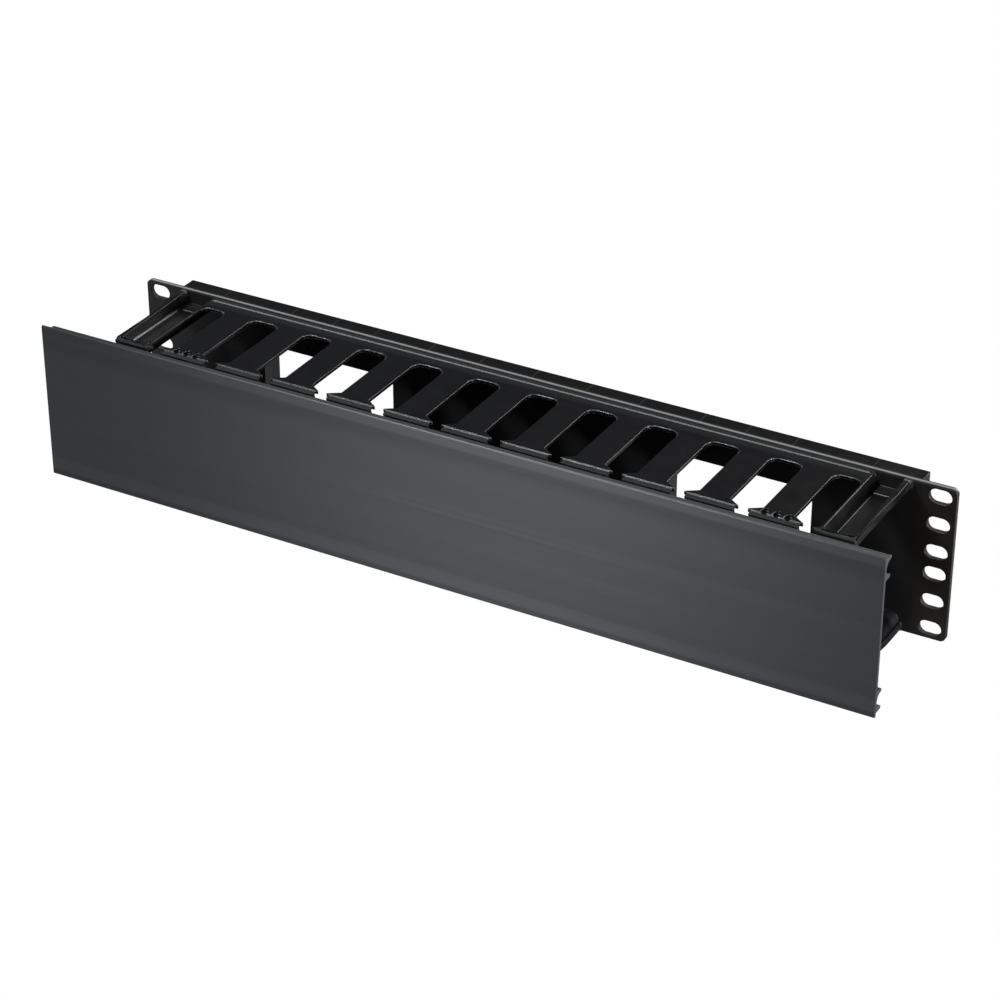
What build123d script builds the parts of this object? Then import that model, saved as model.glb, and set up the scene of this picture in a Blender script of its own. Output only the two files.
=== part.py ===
from build123d import *
import math
import os

# A horizontal cable manager, two rack units high. A moulded base bolts to the front of a rack
# and carries a row of fingers along its top and another along its bottom. A cover snaps over
# the beads at the finger tips and swings up on the top row of them.
#
# Sizes are in millimetres. X runs across the rack, Y goes back into it and Z is up. The origin
# is the centre of the rack hole pattern, on the rear face of the mounting plate.

# Mounting plate
PLATE_WIDTH = 482.6
PLATE_HEIGHT = 88.1
PLATE_THICKNESS = 3.0
PLATE_CORNER_RADIUS = 3.0

# Slotted rack holes, three pairs in each ear
HOLE_SIDE_MARGIN = 8.75
HOLE_END_MARGIN = 5.95
INNER_ROW_SPACING = 12.7
MIDDLE_ROW_SPACING = 44.45
HOLE_LENGTH = 12.2
HOLE_HEIGHT = 8.0

# Cable pass-throughs and the collars behind them
PASS_CENTRE_X = 123.4
PASS_WIDTH = 82.6
PASS_HEIGHT = 45.4
COLLAR_WALL = 2.0

# Stiffening frame on the back of the plate, between the two columns of rack holes
FRAME_HOLE_GAP = 5.55
FRAME_SETBACK = 2.0
FRAME_DEPTH = 12.0
FRAME_WALL = 2.0
RIB_THICKNESS = 1.2
RIB_POSITIONS = (0.0, 32.0, 63.0, 98.0, 123.5, 150.0)
END_RIB_INSET = 26.9

# Finger rows
FINGER_COUNT = 11
FINGER_WIDTH = 16.8
FINGER_THICKNESS = 2.0
END_SLOT_WIDTH = 15.1
ROW_SETBACK = 1.55
SHELF_DEPTH = 10.5
SHELF_STEP_DEPTH = 2.1
SHELF_STEP_HEIGHT = 0.5
SHELF_STEP_END_GAP = 0.5
ROOT_RADIUS = 4.8

# Flared heads at the finger tips
HEAD_REACH = 63.2
HEAD_LAND = 0.6
FLARE_LENGTH = 4.2
HEAD_GAP = 5.2

# Three recesses in the head of each end finger, which run out through its front edge
RECESS_COUNT = 3
RECESS_LENGTH = 5.2
RECESS_WIDTH = 3.8
RECESS_DEPTH = 1.5
RECESS_PITCH = 6.2
RECESS_OVERRUN = 0.5

# Hinge beads, and the noses that carry them
BEAD_DROP = 5.05
BEAD_RADIUS = 3.75
NOSE_INSET = 1.45
NOSE_WALL = 1.8
NOSE_ROOT_THICKNESS = 1.95
NOSE_STEP = 0.6
NOSE_SLOPE = 1 / 6
NOSE_CAP_THICKNESS = 2.0
NECK_THICKNESS = 2.6
NECK_ANGLE = -47.0
NOSE_END_ANGLE = -56.0

# End arms, which are gutters with an outer wall, a floor and an inner wall that leans outward
ARM_FRAME_INSET = 5.2
ARM_WIDTH = 19.7
ARM_WALL = 2.0
ARM_OVERREACH = 3.0
ARM_RIM_DROP = 1.75
ARM_FLOOR_DROP = 7.0
ARM_FLOOR_THICKNESS = 1.4
ARM_FLOOR_STEP = 0.5
ARM_FLOOR_STEP_REACH = 8.0
ARM_INNER_LAND = 1.2
ARM_INNER_LEAN = 3.4
ARM_CORNER_RADIUS = 5.0
ARM_FLARE_START_GAP = 1.6
ARM_FLARE_TIP_GAP = 0.7
ARM_PAD = 1.2
ARM_PAD_FULL_REACH = 17.0
ARM_PAD_TAPER_REACH = 34.0
ARM_FOOT_RADIUS = 1.5

# Snap-on cover
COVER_OVERHANG = 4.7
COVER_SHIFT = -9.5
COVER_EDGE_HEIGHT = 2.15
COVER_WALL = 2.0
LIP_OVERLAP = 1.4
RIB_OVERLAP = 1.1
LIP_END_CUT = 3.0

# Clearances
BEAD_CLEARANCE = 0.3
SWEEP_CLEARANCE = 0.64

# Overlap that joins features of one moulding
WELD = 1.5

# Derived sizes of the plate, its holes and its frame
PLATE_FRONT_Y = -PLATE_THICKNESS
PLATE_TOP_Z = PLATE_HEIGHT / 2
HOLE_COLUMN_SPACING = PLATE_WIDTH - 2 * HOLE_SIDE_MARGIN
OUTER_ROW_SPACING = PLATE_HEIGHT - 2 * HOLE_END_MARGIN
FRAME_WIDTH = HOLE_COLUMN_SPACING - HOLE_LENGTH - 2 * FRAME_HOLE_GAP

# Derived positions of the finger rows and arms
ARM_OUTER_X = FRAME_WIDTH / 2 - ARM_FRAME_INSET
ARM_INNER_X = ARM_OUTER_X - ARM_WIDTH
LAST_FINGER_X = ARM_INNER_X - END_SLOT_WIDTH - FINGER_WIDTH / 2
FINGER_PITCH = 2 * LAST_FINGER_X / (FINGER_COUNT - 1)
NOSE_WIDTH = FINGER_PITCH - HEAD_GAP - 2 * NOSE_INSET
ARM_TIP_X = LAST_FINGER_X + (FINGER_PITCH + HEAD_GAP) / 2
ROW_TOP_Z = PLATE_TOP_Z - ROW_SETBACK
ROOT_Y = PLATE_FRONT_Y - SHELF_DEPTH
HEAD_FRONT_Y = PLATE_FRONT_Y - HEAD_REACH
HEAD_TIP_Y = HEAD_FRONT_Y + HEAD_LAND
FLARE_Y = HEAD_TIP_Y + FLARE_LENGTH
ARM_FRONT_Y = HEAD_FRONT_Y - ARM_OVERREACH
ARM_FLOOR_Z = ROW_TOP_Z - ARM_FLOOR_DROP
ARM_BOTTOM_Z = ARM_FLOOR_Z - ARM_FLOOR_THICKNESS

# Derived sizes of the hinge
CHANNEL_RADIUS = BEAD_RADIUS + BEAD_CLEARANCE
LIP_SWEEP_RADIUS = math.hypot(LIP_OVERLAP, CHANNEL_RADIUS + COVER_WALL)
RELIEF_RADIUS = LIP_SWEEP_RADIUS + SWEEP_CLEARANCE
NOSE_OUTER_RADIUS = RELIEF_RADIUS + NOSE_WALL
AXIS_Y = HEAD_FRONT_Y - NOSE_ROOT_THICKNESS - RELIEF_RADIUS
AXIS_Z = ROW_TOP_Z - BEAD_DROP

# Derived sizes of the cover
COVER_LENGTH = PLATE_WIDTH + 2 * COVER_OVERHANG
COVER_TOP_Z = AXIS_Z + CHANNEL_RADIUS + COVER_WALL + COVER_EDGE_HEIGHT


def block(low, high):
    size = [b - a for a, b in zip(low, high)]
    return Pos(*low) * Box(*size, align=(Align.MIN, Align.MIN, Align.MIN))


def outline(*points):
    return Polygon(*points, align=None)


def along_x(section, start, end):
    return Pos(start, 0, 0) * extrude(Plane.YZ * section, amount=end - start, dir=(1, 0, 0))


def along_y(section, start, end):
    return Pos(0, start, 0) * extrude(Plane.XZ * section, amount=end - start, dir=(0, 1, 0))


def along_z(plan, start, end):
    return Pos(0, 0, start) * extrude(plan, amount=end - start, dir=(0, 0, 1))


def polar(radius, angle):
    return (radius * math.cos(math.radians(angle)), radius * math.sin(math.radians(angle)))


def both_sides(shape):
    return shape + mirror(shape, about=Plane.YZ)


def pass_throughs(margin):
    opening = Rectangle(PASS_WIDTH + 2 * margin, PASS_HEIGHT + 2 * margin)
    return Pos(PASS_CENTRE_X, 0) * opening + Pos(-PASS_CENTRE_X, 0) * opening


def plate():
    sheet = RectangleRounded(PLATE_WIDTH, PLATE_HEIGHT, PLATE_CORNER_RADIUS)
    sheet -= pass_throughs(0)
    for spacing in (INNER_ROW_SPACING, MIDDLE_ROW_SPACING, OUTER_ROW_SPACING):
        sheet -= GridLocations(HOLE_COLUMN_SPACING, spacing, 2, 2) * SlotOverall(HOLE_LENGTH, HOLE_HEIGHT)
    return along_y(sheet, PLATE_FRONT_Y, 0)


def rear_frame():
    height = PLATE_HEIGHT - 2 * FRAME_SETBACK
    inside = (FRAME_WIDTH - 2 * FRAME_WALL, height - 2 * FRAME_WALL)
    section = Rectangle(FRAME_WIDTH, height) - Rectangle(*inside)
    section += pass_throughs(COLLAR_WALL)
    for position in (*RIB_POSITIONS, FRAME_WIDTH / 2 - END_RIB_INSET):
        for side in {position, -position}:
            section += Pos(side, 0) * Rectangle(RIB_THICKNESS, height)
    section -= pass_throughs(0)
    return along_y(section, -WELD, FRAME_DEPTH)


def slot_outline(left, right, left_head, right_head):
    beyond = HEAD_FRONT_Y - WELD
    slot = outline(
        (left, ROOT_Y), (right, ROOT_Y), (right, FLARE_Y), (right_head, HEAD_TIP_Y),
        (right_head, beyond), (left_head, beyond), (left_head, HEAD_TIP_Y), (left, FLARE_Y),
    )
    return fillet(slot.vertices().group_by(Axis.Y)[-1], ROOT_RADIUS)


def comb():
    plan = outline(
        (-ARM_INNER_X, PLATE_FRONT_Y + WELD), (ARM_INNER_X, PLATE_FRONT_Y + WELD),
        (ARM_INNER_X, HEAD_FRONT_Y), (-ARM_INNER_X, HEAD_FRONT_Y),
    )
    half_slot = (FINGER_PITCH - FINGER_WIDTH) / 2
    inner_slot = slot_outline(-half_slot, half_slot, -HEAD_GAP / 2, HEAD_GAP / 2)
    for index in range(FINGER_COUNT - 1):
        plan -= Pos(-LAST_FINGER_X + (index + 0.5) * FINGER_PITCH, 0) * inner_slot
    last_side = LAST_FINGER_X + FINGER_WIDTH / 2
    last_head = LAST_FINGER_X + (FINGER_PITCH - HEAD_GAP) / 2
    end_slot = slot_outline(last_side, ARM_INNER_X, last_head, ARM_INNER_X)
    plan -= end_slot + mirror(end_slot, about=Plane.YZ)

    return along_z(plan, ROW_TOP_Z - FINGER_THICKNESS, ROW_TOP_Z)


def shelf_step():
    reach = PLATE_FRONT_Y - SHELF_STEP_DEPTH
    half = ARM_INNER_X - SHELF_STEP_END_GAP
    low = (-half, reach, ROW_TOP_Z - SHELF_STEP_HEIGHT)
    return block(low, (half, PLATE_FRONT_Y + WELD, ROW_TOP_Z + SHELF_STEP_HEIGHT))


def recesses():
    recess = Rot(0, 0, 90) * SlotOverall(RECESS_LENGTH, RECESS_WIDTH)
    plan = Sketch() + GridLocations(RECESS_PITCH, 0, RECESS_COUNT, 1) * recess
    centre_y = HEAD_FRONT_Y - RECESS_OVERRUN + RECESS_LENGTH / 2
    row = Pos(LAST_FINGER_X, centre_y, 0) * along_z(plan, ROW_TOP_Z - RECESS_DEPTH, PLATE_TOP_Z)
    return both_sides(row)


def nose_section():
    far = 2 * NOSE_OUTER_RADIUS
    cap_bottom = BEAD_DROP - NOSE_CAP_THICKNESS
    cap_top = BEAD_DROP - NOSE_STEP
    cap_back = HEAD_FRONT_Y - AXIS_Y
    shell = Circle(NOSE_OUTER_RADIUS) - Circle(RELIEF_RADIUS)
    shell &= outline((0, 0), polar(far, NOSE_END_ANGLE), (far, cap_bottom), (0, cap_bottom))
    cap = outline(
        (cap_back - (cap_top - cap_bottom) / NOSE_SLOPE, cap_bottom), (cap_back, cap_top),
        (cap_back, BEAD_DROP), (cap_back + HEAD_LAND, BEAD_DROP), (cap_back + HEAD_LAND, cap_bottom),
    ) - Circle(RELIEF_RADIUS)
    neck_length = (RELIEF_RADIUS + NOSE_OUTER_RADIUS) / 2
    neck = Rot(0, 0, NECK_ANGLE) * Pos(neck_length / 2, 0) * Rectangle(neck_length, NECK_THICKNESS)
    return Pos(AXIS_Y, AXIS_Z) * (shell + cap + neck + Circle(BEAD_RADIUS))


def gutter_section():
    foot = ARM_INNER_X + ARM_INNER_LEAN
    outer = outline(
        (ARM_INNER_X, ROW_TOP_Z), (ARM_INNER_X, ROW_TOP_Z - FINGER_THICKNESS), (foot, ARM_BOTTOM_Z),
        (ARM_OUTER_X, ARM_BOTTOM_Z), (ARM_OUTER_X, PLATE_TOP_Z), (ARM_OUTER_X - ARM_WALL, PLATE_TOP_Z),
        (ARM_OUTER_X - ARM_WALL, ROW_TOP_Z),
    )
    hollow = outline(
        (ARM_INNER_X + ARM_INNER_LAND, ROW_TOP_Z), (foot + ARM_INNER_LAND, ARM_FLOOR_Z),
        (ARM_OUTER_X - ARM_WALL, ARM_FLOOR_Z), (ARM_OUTER_X - ARM_WALL, ROW_TOP_Z),
    )
    outer_corner = outer.vertices().group_by(Axis.Y)[0].sort_by(Axis.X)[-1]
    inner_corner = hollow.vertices().group_by(Axis.Y)[0].sort_by(Axis.X)[-1]
    outer = fillet(outer_corner, ARM_CORNER_RADIUS)
    return outer, fillet(inner_corner, ARM_CORNER_RADIUS - ARM_WALL)


def arm_side():
    return outline(
        (PLATE_FRONT_Y + WELD, PLATE_TOP_Z), (PLATE_FRONT_Y, PLATE_TOP_Z),
        (ARM_FRONT_Y, PLATE_TOP_Z - ARM_RIM_DROP), (ARM_FRONT_Y, ARM_BOTTOM_Z),
        (PLATE_FRONT_Y + WELD, ARM_BOTTOM_Z),
    )


def arm_pad():
    outer_x = ARM_OUTER_X + ARM_PAD
    inner_x = ARM_OUTER_X - ARM_WALL / 2
    foot_y = PLATE_FRONT_Y - ARM_FOOT_RADIUS
    plan = outline(
        (inner_x, PLATE_FRONT_Y + WELD), (outer_x, PLATE_FRONT_Y + WELD),
        (outer_x, PLATE_FRONT_Y - ARM_PAD_FULL_REACH),
        (inner_x, PLATE_FRONT_Y - ARM_PAD_FULL_REACH - ARM_PAD_TAPER_REACH),
    )
    foot = outline(
        (outer_x, PLATE_FRONT_Y + WELD), (outer_x + ARM_FOOT_RADIUS, PLATE_FRONT_Y + WELD),
        (outer_x + ARM_FOOT_RADIUS, foot_y), (outer_x, foot_y),
    ) - Pos(outer_x + ARM_FOOT_RADIUS, foot_y) * Circle(ARM_FOOT_RADIUS)
    pad = along_z(plan + foot, ARM_BOTTOM_Z + ARM_CORNER_RADIUS, PLATE_TOP_Z)
    return pad & along_x(arm_side(), inner_x, outer_x + ARM_FOOT_RADIUS)


def arm():
    outer, hollow = gutter_section()
    back_y = PLATE_FRONT_Y + WELD
    step_y = PLATE_FRONT_Y - ARM_FLOOR_STEP_REACH
    gutter = along_y(outer - hollow, ARM_FRONT_Y, back_y)
    gutter += along_y(outer, ARM_FRONT_Y, ARM_FRONT_Y + ARM_WALL)
    raised_floor = outline(
        (back_y, ARM_FLOOR_Z + ARM_FLOOR_STEP), (step_y, ARM_FLOOR_Z + ARM_FLOOR_STEP),
        (step_y - ARM_FLOOR_STEP, ARM_FLOOR_Z), (step_y, ARM_BOTTOM_Z), (back_y, ARM_BOTTOM_Z),
    )
    gutter += along_x(raised_floor, ARM_INNER_X, ARM_OUTER_X) & along_y(outer, ARM_FRONT_Y, back_y)
    gutter &= along_x(arm_side(), ARM_INNER_X, ARM_OUTER_X)
    flare_start = HEAD_FRONT_Y + ARM_FLARE_START_GAP
    flare = outline(
        (ARM_INNER_X, flare_start), (ARM_TIP_X, HEAD_FRONT_Y - ARM_FLARE_TIP_GAP), (ARM_INNER_X, ARM_FRONT_Y),
        (ARM_INNER_X + ARM_INNER_LAND, ARM_FRONT_Y), (ARM_INNER_X + ARM_INNER_LAND, flare_start),
    )
    gutter += along_z(flare, ROW_TOP_Z - FINGER_THICKNESS, ROW_TOP_Z) + arm_pad()
    gutter -= along_x(Pos(AXIS_Y, AXIS_Z) * Circle(RELIEF_RADIUS), 0, PLATE_WIDTH)
    return gutter + along_x(nose_section(), ARM_INNER_X, ARM_OUTER_X)


def finger_row():
    row = comb() + shelf_step()
    for index in range(FINGER_COUNT):
        centre = -LAST_FINGER_X + index * FINGER_PITCH
        row += along_x(nose_section(), centre - NOSE_WIDTH / 2, centre + NOSE_WIDTH / 2)
    return row - recesses() + both_sides(arm())


def base_panel():
    row = finger_row()
    return plate() + rear_frame() + row + mirror(row, about=Plane.XY)


def cover_half_section():
    wall_y = AXIS_Y - CHANNEL_RADIUS - COVER_WALL / 2
    lip_z = AXIS_Z + CHANNEL_RADIUS + COVER_WALL / 2
    rib_z = AXIS_Z - CHANNEL_RADIUS - COVER_WALL / 2
    section = Pos(wall_y, 0) * Rot(0, 0, 90) * SlotOverall(2 * COVER_TOP_Z, COVER_WALL)
    for height, overlap in ((lip_z, LIP_OVERLAP), (rib_z, RIB_OVERLAP)):
        length = AXIS_Y + overlap - (wall_y - COVER_WALL / 2)
        middle = wall_y - COVER_WALL / 2 + length / 2
        section += Pos(middle, height) * SlotOverall(length, COVER_WALL)
    cradle = outline((wall_y, rib_z), (AXIS_Y, rib_z), (AXIS_Y, lip_z), (wall_y, lip_z))
    return section + (cradle - Pos(AXIS_Y, AXIS_Z) * Circle(CHANNEL_RADIUS))


def front_cover():
    half = cover_half_section()
    section = half + mirror(half, about=Plane.XZ)
    start = COVER_SHIFT - COVER_LENGTH / 2
    body = along_x(section, start, start + COVER_LENGTH)
    low = (start - WELD, AXIS_Y - CHANNEL_RADIUS, AXIS_Z + CHANNEL_RADIUS)
    high = (start + LIP_END_CUT, AXIS_Y + BEAD_RADIUS, COVER_TOP_Z)
    return body - block(low, high)


os.makedirs("parts", exist_ok=True)
export_step(base_panel(), "parts/base_panel.step")
export_step(front_cover(), "parts/front_cover.step")
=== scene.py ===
import math

import bpy
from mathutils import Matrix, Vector


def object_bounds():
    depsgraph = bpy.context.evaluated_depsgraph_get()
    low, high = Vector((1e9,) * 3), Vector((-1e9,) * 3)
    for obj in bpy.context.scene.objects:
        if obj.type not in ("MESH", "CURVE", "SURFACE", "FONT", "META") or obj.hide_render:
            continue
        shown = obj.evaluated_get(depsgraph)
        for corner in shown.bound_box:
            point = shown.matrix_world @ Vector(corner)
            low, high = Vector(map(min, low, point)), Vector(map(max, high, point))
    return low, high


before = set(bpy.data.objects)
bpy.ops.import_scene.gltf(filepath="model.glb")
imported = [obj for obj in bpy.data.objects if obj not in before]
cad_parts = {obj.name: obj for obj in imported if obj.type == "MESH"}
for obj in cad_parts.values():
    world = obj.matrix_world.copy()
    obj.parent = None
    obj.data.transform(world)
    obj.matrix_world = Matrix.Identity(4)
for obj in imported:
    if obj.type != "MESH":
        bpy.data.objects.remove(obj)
cad_low, cad_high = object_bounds()
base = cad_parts["base_panel"]
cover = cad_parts["front_cover"]
scene = bpy.context.scene
MM = 0.001


def extent(node, axis):
    """The lowest and highest place of a node along its own X, Y or Z axis, in millimetres."""
    places = [corner["XYZ".index(axis)] / MM for corner in node.bound_box]
    return min(places), max(places)


# Places on the base, in millimetres. A depth runs back from the rear face of the plate, so what
# stands in front of that face is below 0. Heights and sides are distances from the middle.

PLATE_TOP = extent(base, "Z")[1]
PLATE_FRONT = -3.0
SHELF_TOP = PLATE_TOP - 1.55
STEP_TOP = SHELF_TOP + 0.5
RIDGE_DEPTH = PLATE_FRONT - 2.1
ROOT_DEPTH = PLATE_FRONT - 10.5
ROOT_RADIUS = 4.8
HEAD_DEPTH = PLATE_FRONT - 63.2
FRAME_SIDE = 220.9
FRAME_TOP_FROM = 35.0
ARM_INNER_SIDE = 196.0
ARM_OUTER_SIDE = 215.7
RIB_SIDES = (0, 32, 63, 98, 123.5, 150, 194)
EAR_SLOT_SIDES = (222, 239)
BACK_DEPTHS = (3.0, 4.5)
RIM_DEPTHS = (PLATE_FRONT + 0.55, -0.9)

# Noises, each a scale, a detail and a roughness, and bumps, each a strength and a height. A stretch
# sets the noise's fineness along X, Y and Z

CLOUDS = (18.0, 4.0, 0.5)
SPECKS = (900.0, 6.0, 0.75)
PATCHES, PATCH_BUMP = (120.0, 5.0, 0.6), (0.10, 0.4 * MM)
MOULD_GRAIN, MOULD_GRAIN_BUMP = (2600.0, 2.0, 0.6), (0.12, 0.08 * MM)
# Noise that breaks up the painted edge highlight and wear
WEAR_AND_HIGHLIGHT_BREAKS = (420.0, 3.0, 0.6)
STREAKS, STREAK_STRETCH, STREAK_BUMP = (1.0, 5.0, 0.7), (2.0, 40.0, 520.0), (0.12, 0.1 * MM)
BROAD_STREAKS, BROAD_STRETCH = (1.0, 4.0, 0.6), (0.8, 10.0, 160.0)
SAW_MARKS, SAW_STRETCH = (1.0, 3.0, 0.7), (1.0, 260.0, 1800.0)
PVC_GRAIN, PVC_GRAIN_BUMP = (1900.0, 3.0, 0.6), (0.10, 0.08 * MM)

# Looks of the moulded base. A range is the part of a noise's values over which a look changes, and a
# reach is a pair of distances in millimetres over which it ends

BLACK_DEEP, BLACK_PALE = (0.0022, 0.0023, 0.0029), (0.0036, 0.0036, 0.0040)
DUST = (0.0160, 0.0155, 0.0150)
SHELF_BLACK = (0.0110, 0.0110, 0.0113)
FRAME_BLACK = (0.0130, 0.0121, 0.0108)
BACK_BLACK = (0.0030, 0.0024, 0.0018)
EAR_BLACK = (0.0150, 0.0134, 0.0112)
BEAD_BLACK = (0.0090, 0.0090, 0.0096)
SINK_MARK = (0.0300, 0.0280, 0.0250)
# A grey painted on the plate's top rim and the shelf's ridge as a painted highlight
PAINTED_HIGHLIGHT_GREY = (0.200, 0.200, 0.202)
# A pale grey painted on the rounded edges: painted highlight, with some edge wear
WEAR_AND_HIGHLIGHT_GREY = (0.80, 0.80, 0.82)
CLOUD_RANGE = (0.35, 0.65)
SPECK_RANGE = (0.66, 0.74)
BREAK_RANGE = (0.42, 0.58)
SATIN_RANGE = (0.3, 0.7)
SATIN_ROUGHNESS = (0.26, 0.38)
MATT_EXTRA = 0.45
TROUGH_MATT_SHARE = 0.08
BROAD_EDGE_RADIUS, CRISP_EDGE_RADIUS = 0.8 * MM, 0.02 * MM
# Shares of the painted edge highlight and wear on the finger heads and on the other edges
HEAD_WEAR_AND_HIGHLIGHT, OTHER_WEAR_AND_HIGHLIGHT = 0.16, 0.04
WEAR_AND_HIGHLIGHT_BREAK_SHARE = 0.15
EDGE_TURN = (0.985, 0.86)
HEAD_WEAR_AND_HIGHLIGHT_REACH = (0.5, 0.9)
SINK_MARK_REACH = (0.15, 0.45)

# Looks of the extruded cover. Its lines are pairs of a height in millimetres and a brightness: light
# and dark bands over the roots of the lips on its back

CHARCOAL_DEEP, CHARCOAL_PALE = (0.0312, 0.0328, 0.0354), (0.0372, 0.0390, 0.0418)
SAWN_DEEP, SAWN_PALE = (0.036, 0.037, 0.039), (0.056, 0.057, 0.060)
STREAK_RANGE = (0.36, 0.64)
SAWN_RANGE = (0.35, 0.65)
EXTRUDED_RANGE = (0.35, 0.65)
EXTRUDED_ROUGHNESS = (0.39, 0.45)
STREAK_SHARE = 0.7
COVER_EDGE_RADIUS = 0.4 * MM
LINE_REACH = 46.0
COVER_LINES = (
    (-46, 0.90), (-44.2, 0.80), (-42.6, 0.78),
    (-41.8, 1.24), (-39.5, 1.28), (-35.2, 1.26),
    (-33.4, 0.98), (-24, 1.03), (0, 1.0), (30, 0.97),
    (34, 0.76), (39.4, 0.80),
    (40.8, 1.20), (44.6, 1.24), (46, 1.24),
)
RAMP_SHARE = 0.6
TOP_LINE = (39.8, 41.2)
TOP_LINE_FADE = (-225, -140)
TOP_LINE_LEFT_SHARE = 0.62
SAWN_DEPTH = (0.05, 0.15)

SPECULAR_LEVEL = 0.5

# Edge rounding

BASE_ROUNDING = 0.26 * MM
COVER_ROUNDING = 0.15 * MM
ROUNDED_ANGLE = math.radians(35)
ROUNDING_SEGMENTS = 3
WELD_DISTANCE = 0.002 * MM
FLAT_ANGLE = math.radians(0.5)

# Studio, in metres and watts

FLOOR_SIZE = 8
FLOOR_GAP = 0.05 * MM
FLOOR_GREY = (0.25, 0.25, 0.255)
SKY_TINT = (0.93, 0.96, 1.0)
SKY_STRENGTH = 0.093
SOFTBOXES = (
    # Name, place, aim, width and height, power, tint
    ("rim", (-0.52, -0.60, 1.28), (0, -0.05, 0), (0.42, 0.30), 22, (0.96, 0.98, 1.0)),
    ("side", (0.50, 1.15, 0.62), (0.05, -0.02, 0), (0.35, 0.35), 7, (1.0, 0.97, 0.93)),
    ("front", (0.30, -1.60, 0.25), (0, -0.08, 0), (1.0, 0.6), 1.2, (0.94, 0.97, 1.0)),
    ("end", (1.20, -0.14, 0.20), (0.2, -0.05, 0), (0.5, 0.4), 15, (0.97, 0.98, 1.0)),
    ("rear", (0.45, 1.70, 0.14), (0, 0, 0), (1.2, 0.5), 14, (0.97, 0.98, 1.0)),
)
POOL_PLACE = (0.024, -0.92, 0.0)
POOL_POWER = 39
POOL_ANGLE = math.radians(27)
POOL_SOFTNESS = 0.10
POOL_TINT = (0.97, 0.98, 1.0)

# Camera, as solved from the photograph

AZIMUTH, ELEVATION = math.radians(29.43), math.radians(30.03)
TARGET = Vector((6.78, -43.0, -7.38)) * MM
DISTANCE = 1584.19 * MM
FOCAL_PIXELS = 3045.74
FRAME_PIXELS = 1000
SENSOR = 36.0
CLIP = (0.05, 50)

# Numbers of the colour sockets on a Mix node, whose names are not unique
MIX_FIRST, MIX_SECOND, MIX_RESULT = 6, 7, 2


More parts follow.
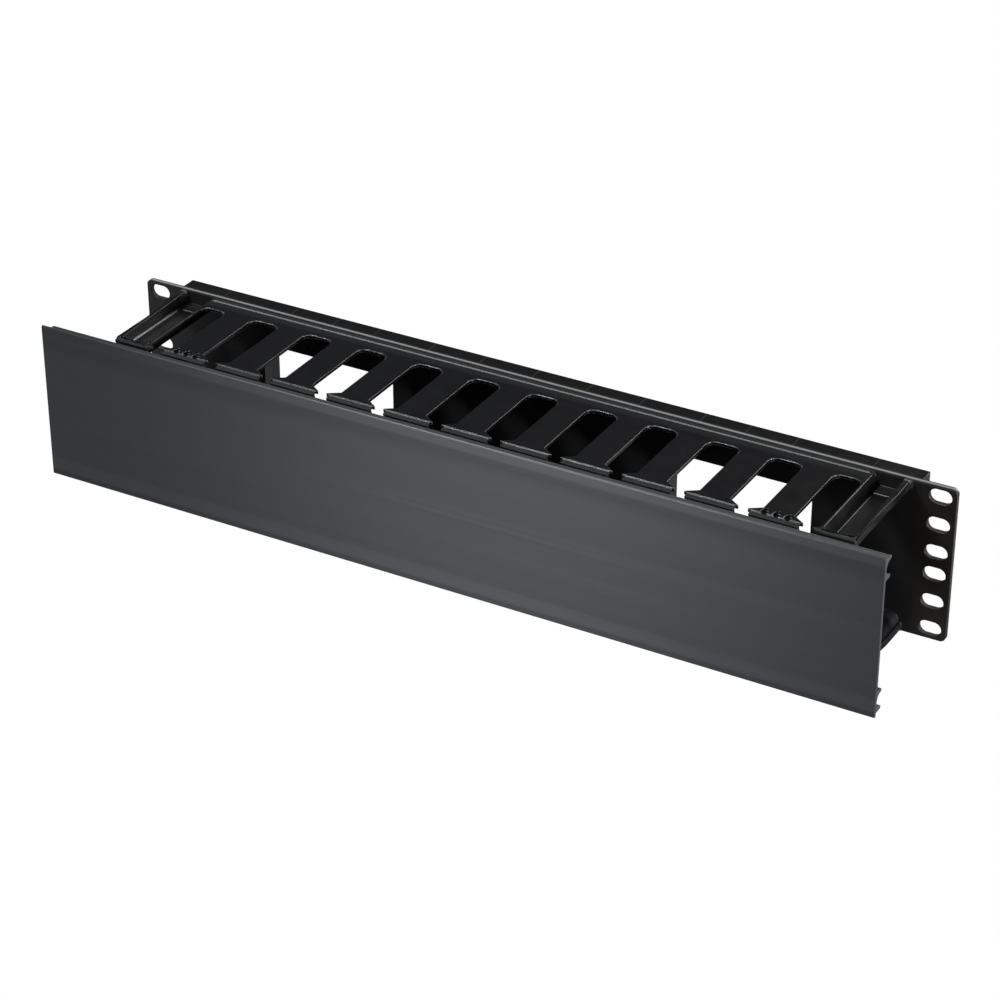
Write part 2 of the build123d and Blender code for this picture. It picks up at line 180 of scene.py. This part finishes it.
class Surface:
    """A Principled material, with a short method for each kind of node that feeds it."""

    def __init__(self, name):
        self.material = bpy.data.materials.new(name)
        self.material.use_nodes = True
        self.tree = self.material.node_tree
        self.tree.nodes.clear()
        self.shader = self.node("BsdfPrincipled")
        self.feed(self.shader.inputs["Specular IOR Level"], SPECULAR_LEVEL)
        self.feed(self.node("OutputMaterial").inputs["Surface"], self.shader.outputs["BSDF"])

    def node(self, kind):
        return self.tree.nodes.new("ShaderNode" + kind)

    def feed(self, socket, value):
        """Link a socket to another node's output, or set it to a number, a vector or a colour."""
        if isinstance(value, bpy.types.NodeSocket):
            self.tree.links.new(value, socket)
        elif socket.type == "RGBA":
            socket.default_value = (*value, 1)
        else:
            socket.default_value = value

    def place(self, stretch=(1, 1, 1)):
        mapping = self.node("Mapping")
        self.feed(mapping.inputs["Vector"], self.node("TexCoord").outputs["Object"])
        self.feed(mapping.inputs["Scale"], stretch)
        return mapping.outputs["Vector"]

    def axes(self):
        """The three coordinates of a point, in millimetres."""
        split = self.node("SeparateXYZ")
        self.feed(split.inputs["Vector"], self.place((1 / MM, 1 / MM, 1 / MM)))
        return [split.outputs[axis] for axis in "XYZ"]

    def noise(self, scale, detail, rough, stretch=(1, 1, 1)):
        node = self.node("TexNoise")
        self.feed(node.inputs["Vector"], self.place(stretch))
        self.feed(node.inputs["Scale"], scale)
        self.feed(node.inputs["Detail"], detail)
        self.feed(node.inputs["Roughness"], rough)
        return node.outputs["Fac"]

    def maths(self, operation, first, *others):
        """One operation on a single value, or carried on through several."""
        for other in others or (None,):
            node = self.node("Math")
            node.operation = operation
            self.feed(node.inputs[0], first)
            if other is not None:
                self.feed(node.inputs[1], other)
            first = node.outputs["Value"]
        return first

    def plus(self, *values):
        return self.maths("ADD", *values)

    def times(self, *values):
        return self.maths("MULTIPLY", *values)

    def largest(self, *values):
        return self.maths("MAXIMUM", *values)

    def rest_of(self, share):
        return self.maths("SUBTRACT", 1, share)

    def distance(self, value, middle=0):
        return self.maths("ABSOLUTE", self.maths("SUBTRACT", value, middle))

    def span(self, value, low_in, high_in, low_out=0, high_out=1):
        """Map one range to another, and hold the result at both ends."""
        node = self.node("MapRange")
        self.feed(node.inputs["Value"], value)
        self.feed(node.inputs["From Min"], low_in)
        self.feed(node.inputs["From Max"], high_in)
        self.feed(node.inputs["To Min"], low_out)
        self.feed(node.inputs["To Max"], high_out)
        return node.outputs["Result"]

    def below(self, value, low, high):
        """1 up to the low value, falling to 0 at the high one."""
        return self.span(value, low, high, 1, 0)

    def band(self, value, low, high, edge):
        """1 between two values, with soft edges."""
        rise = self.span(value, low - edge, low + edge)
        fall = self.below(value, high - edge, high + edge)
        return self.times(rise, fall)

    def blend(self, share, first, second):
        node = self.node("Mix")
        node.data_type = "RGBA"
        self.feed(node.inputs["Factor"], share)
        self.feed(node.inputs[MIX_FIRST], first)
        self.feed(node.inputs[MIX_SECOND], second)
        return node.outputs[MIX_RESULT]

    def scaled(self, colour, level):
        node = self.node("VectorMath")
        node.operation = "SCALE"
        self.feed(node.inputs[0], colour)
        self.feed(node.inputs["Scale"], level)
        return node.outputs["Vector"]

    def levels(self, value, reach, points):
        """A curve through points, each a place within the reach on either side of 0 and its level."""
        node = self.node("ValToRGB")
        self.feed(node.inputs["Fac"], self.span(value, -reach, reach))
        elements = node.color_ramp.elements
        while len(elements) < len(points):
            elements.new(0.5)
        for element, (place, level) in zip(elements, points):
            element.position = (place + reach) / (2 * reach)
            element.color = (*[level * RAMP_SHARE] * 3, 1)
        return self.times(node.outputs["Color"], 1 / RAMP_SHARE)

    def rounded(self, radius):
        """The normal as it would be with every edge rounded."""
        node = self.node("Bevel")
        node.samples = 8
        self.feed(node.inputs["Radius"], radius)
        return node.outputs["Normal"]

    def edges(self, rounded):
        """1 where the rounded normal turns away from the true one."""
        turn = self.node("VectorMath")
        turn.operation = "DOT_PRODUCT"
        self.feed(turn.inputs[0], self.node("NewGeometry").outputs["Normal"])
        self.feed(turn.inputs[1], rounded)
        return self.span(turn.outputs["Value"], *EDGE_TURN)

    def bump(self, texture, strength, height, normal):
        node = self.node("Bump")
        self.feed(node.inputs["Height"], texture)
        self.feed(node.inputs["Strength"], strength)
        self.feed(node.inputs["Distance"], height)
        self.feed(node.inputs["Normal"], normal)
        return node.outputs["Normal"]

    def finish(self, colour, roughness, normal):
        self.feed(self.shader.inputs["Base Color"], colour)
        self.feed(self.shader.inputs["Roughness"], roughness)
        self.feed(self.shader.inputs["Normal"], normal)
        return self.material


# Base material

def sink_marks(surface, side, height, rear):
    """Thin lines on the top of the frame, over its ribs."""
    nearest = surface.maths("MINIMUM", *[surface.distance(side, rib) for rib in RIB_SIDES])
    on_top = surface.span(height, FRAME_TOP_FROM, FRAME_TOP_FROM + 1)
    return surface.times(surface.below(nearest, *SINK_MARK_REACH), rear, on_top)


def edge_wear_and_highlight(surface, side, depth, trough, rounded):
    """A pale grey painted on the rounded edges, as painted highlight with some edge wear: most at the
    closed ends of the slots, broken up by noise, less on the finger heads and least on the other
    edges. The shelf, the plate and the troughs of the arms have none."""
    breaks = surface.span(surface.noise(*WEAR_AND_HIGHLIGHT_BREAKS), *BREAK_RANGE, WEAR_AND_HIGHLIGHT_BREAK_SHARE, 1)
    root = surface.times(
        surface.band(depth, ROOT_DEPTH - ROOT_RADIUS - 0.7, ROOT_DEPTH + 1.0, 0.6),
        surface.below(side, ARM_INNER_SIDE - 1, ARM_INNER_SIDE),
    )
    head = surface.span(surface.distance(depth, HEAD_DEPTH), *HEAD_WEAR_AND_HIGHLIGHT_REACH, HEAD_WEAR_AND_HIGHLIGHT, OTHER_WEAR_AND_HIGHLIGHT)
    clean = surface.times(
        surface.span(depth, ROOT_DEPTH + 2.0, ROOT_DEPTH + 3.0),
        surface.below(side, FRAME_SIDE + 0.1, FRAME_SIDE + 1.1),
    )
    share = surface.times(surface.largest(surface.times(root, breaks), head), surface.rest_of(clean))
    return surface.times(surface.edges(rounded), share, surface.rest_of(trough))


def moulded_black():
    surface = Surface("black_abs")
    across, depth, up = surface.axes()
    side, height = surface.distance(across), surface.distance(up)
    cloud = surface.noise(*CLOUDS)
    grain = surface.noise(*MOULD_GRAIN)
    patch = surface.noise(*PATCHES)
    specks = surface.noise(*SPECKS)

    # Where a point lies, as shares from 0 to 1
    shelf = surface.span(depth, ROOT_DEPTH + 2.0, ROOT_DEPTH + 4.5)
    rear = surface.span(depth, -0.2, 0.2)
    back = surface.span(depth, *BACK_DEPTHS)
    bead = surface.below(depth, HEAD_DEPTH - 0.8, HEAD_DEPTH - 0.2)
    trough = surface.band(side, ARM_INNER_SIDE - 1, ARM_OUTER_SIDE + 0.3, 0.5)
    ear = surface.times(
        surface.span(side, FRAME_SIDE + 0.1, FRAME_SIDE + 3.1),
        surface.below(height, PLATE_TOP - 0.45, PLATE_TOP - 0.15),
    )
    slot_wall = surface.times(
        surface.band(side, *EAR_SLOT_SIDES, 0.4),
        surface.band(depth, PLATE_FRONT + 0.3, 0.1, 0.1),
    )
    rim = surface.times(
        surface.band(depth, *RIM_DEPTHS, 0.2),
        surface.span(height, PLATE_TOP - 0.2, PLATE_TOP - 0.1),
    )
    ridge = surface.times(
        surface.band(depth, RIDGE_DEPTH - 0.2, RIDGE_DEPTH + 0.25, 0.12),
        surface.span(height, SHELF_TOP - 0.1, SHELF_TOP + 0.1),
    )
    step = surface.times(
        surface.band(depth, RIDGE_DEPTH + 0.5, PLATE_FRONT + 0.4, 0.1),
        surface.span(height, STEP_TOP - 0.1, STEP_TOP),
    )
    # Painted highlight: a pale grey on the plate's top rim and the shelf's ridge, which are also made
    # matt
    painted_highlight_lines = surface.largest(rim, ridge)

    # The edges of the slots and fingers are broad, those of shelf and plate crisp
    radius = surface.span(
        depth, ROOT_DEPTH + 1.5, ROOT_DEPTH + 3.5, BROAD_EDGE_RADIUS, CRISP_EDGE_RADIUS
    )
    rounded = surface.rounded(radius)

    colour = surface.blend(surface.span(cloud, *CLOUD_RANGE), BLACK_DEEP, BLACK_PALE)
    for share, tint in (
        (surface.span(specks, *SPECK_RANGE), DUST),
        (shelf, SHELF_BLACK),
        (rear, FRAME_BLACK),
        (back, BACK_BLACK),
        # Painted highlight on the rim and the ridge
        (painted_highlight_lines, PAINTED_HIGHLIGHT_GREY),
        (sink_marks(surface, side, height, rear), SINK_MARK),
        (ear, EAR_BLACK),
        # Painted highlight, with some wear, on the rounded edges
        (edge_wear_and_highlight(surface, side, depth, trough, rounded), WEAR_AND_HIGHLIGHT_GREY),
        (bead, BEAD_BLACK),
    ):
        colour = surface.blend(share, colour, tint)

    matt = surface.largest(painted_highlight_lines, bead, surface.times(trough, TROUGH_MATT_SHARE), step, slot_wall)
    satin = surface.span(patch, *SATIN_RANGE, *SATIN_ROUGHNESS)
    roughness = surface.plus(satin, surface.times(matt, MATT_EXTRA))
    normal = surface.bump(grain, *MOULD_GRAIN_BUMP, rounded)
    normal = surface.bump(patch, *PATCH_BUMP, normal)
    return surface.finish(colour, roughness, normal)


# Cover material

def line_level(surface, across, height):
    """Brightness of the lines along the extrusion. The top one fades towards the left end."""
    lines = surface.levels(height, LINE_REACH, COVER_LINES)
    left = surface.below(across, *TOP_LINE_FADE)
    fade = surface.times(surface.span(height, *TOP_LINE), left, 1 - TOP_LINE_LEFT_SHARE)
    return surface.times(lines, surface.rest_of(fade))


def extruded_charcoal():
    surface = Surface("charcoal_pvc")
    across, _, height = surface.axes()
    streak = surface.noise(*STREAKS, stretch=STREAK_STRETCH)
    broad = surface.noise(*BROAD_STREAKS, stretch=BROAD_STRETCH)
    sawn = surface.noise(*SAW_MARKS, stretch=SAW_STRETCH)
    grain = surface.noise(*PVC_GRAIN)
    mix = surface.plus(surface.times(streak, STREAK_SHARE), surface.times(broad, 1 - STREAK_SHARE))

    face = surface.blend(surface.span(mix, *STREAK_RANGE), CHARCOAL_DEEP, CHARCOAL_PALE)
    face = surface.scaled(face, line_level(surface, across, height))
    cut = surface.blend(surface.span(sawn, *SAWN_RANGE), SAWN_DEEP, SAWN_PALE)
    left, right = extent(cover, "X")
    half = (right - left) / 2
    end = surface.span(
        surface.distance(across, (left + right) / 2), half - SAWN_DEPTH[1], half - SAWN_DEPTH[0]
    )

    roughness = surface.span(mix, *EXTRUDED_RANGE, *EXTRUDED_ROUGHNESS)
    normal = surface.bump(streak, *STREAK_BUMP, surface.rounded(COVER_EDGE_RADIUS))
    normal = surface.bump(grain, *PVC_GRAIN_BUMP, normal)
    return surface.finish(surface.blend(end, face, cut), roughness, normal)


def dress(node, material, rounding):
    """Give a CAD node its material, and round its edges."""
    node.data.materials.clear()
    node.data.materials.append(material)
    weld = node.modifiers.new("weld", "WELD")
    weld.merge_threshold = WELD_DISTANCE
    flat = node.modifiers.new("flat", "DECIMATE")
    flat.decimate_type = "DISSOLVE"
    flat.angle_limit = FLAT_ANGLE
    soft = node.modifiers.new("soft", "BEVEL")
    soft.width = rounding
    soft.segments = ROUNDING_SEGMENTS
    soft.use_clamp_overlap = False
    soft.limit_method = "ANGLE"
    soft.angle_limit = ROUNDED_ANGLE
    soft.harden_normals = True


# Studio

def floor_material():
    """Pale grey to the light, and plain white to the camera."""
    material = bpy.data.materials.new("floor")
    material.use_nodes = True
    tree = material.node_tree
    tree.nodes.clear()
    matt = tree.nodes.new("ShaderNodeBsdfDiffuse")
    matt.inputs["Color"].default_value = (*FLOOR_GREY, 1)
    plain = tree.nodes.new("ShaderNodeEmission")
    plain.inputs["Color"].default_value = (1, 1, 1, 1)
    path = tree.nodes.new("ShaderNodeLightPath")
    mix = tree.nodes.new("ShaderNodeMixShader")
    tree.links.new(path.outputs["Is Camera Ray"], mix.inputs["Fac"])
    tree.links.new(matt.outputs["BSDF"], mix.inputs[1])
    tree.links.new(plain.outputs["Emission"], mix.inputs[2])
    out = tree.nodes.new("ShaderNodeOutputMaterial")
    tree.links.new(mix.outputs["Shader"], out.inputs["Surface"])
    return material


def lay_floor():
    bpy.ops.mesh.primitive_plane_add(size=FLOOR_SIZE, location=(0, 0, cad_low.z - FLOOR_GAP))
    floor = bpy.context.object
    floor.name = "floor"
    floor.data.materials.append(floor_material())


def add_object(name, data):
    added = bpy.data.objects.new(name, data)
    scene.collection.objects.link(added)
    return added


def add_softbox(name, place, aim, size, power, tint):
    data = bpy.data.lights.new(name, "AREA")
    data.shape = "RECTANGLE"
    data.size, data.size_y = size
    data.energy = power
    data.color = tint
    lamp = add_object(name, data)
    lamp.location = place
    lamp.rotation_euler = (Vector(aim) - Vector(place)).to_track_quat("-Z", "Y").to_euler()


def add_pool():
    """A soft spot that lights the middle of the cover more than its ends."""
    data = bpy.data.lights.new("pool", "SPOT")
    data.energy = POOL_POWER
    data.spot_size = POOL_ANGLE
    data.spot_blend = 1
    data.shadow_soft_size = POOL_SOFTNESS
    data.color = POOL_TINT
    lamp = add_object("pool", data)
    lamp.location = POOL_PLACE
    lamp.rotation_euler = (math.radians(90), 0, 0)


def set_sky():
    world = bpy.data.worlds.new("studio")
    scene.world = world
    world.use_nodes = True
    background = world.node_tree.nodes["Background"]
    background.inputs["Color"].default_value = (*SKY_TINT, 1)
    background.inputs["Strength"].default_value = SKY_STRENGTH


def add_camera():
    lens = bpy.data.cameras.new("camera")
    lens.sensor_width = SENSOR
    lens.lens = FOCAL_PIXELS / FRAME_PIXELS * SENSOR
    lens.clip_start, lens.clip_end = CLIP
    camera = add_object("camera", lens)
    ground = math.cos(ELEVATION)
    outward = Vector((math.sin(AZIMUTH) * ground, -math.cos(AZIMUTH) * ground, math.sin(ELEVATION)))
    camera.location = TARGET + outward * DISTANCE
    camera.rotation_mode = "QUATERNION"
    camera.rotation_quaternion = (-outward).to_track_quat("-Z", "Y")
    scene.camera = camera


dress(base, moulded_black(), BASE_ROUNDING)
dress(cover, extruded_charcoal(), COVER_ROUNDING)
lay_floor()
set_sky()
for softbox in SOFTBOXES:
    add_softbox(*softbox)
add_pool()
add_camera()
scene.view_settings.view_transform = "Standard"
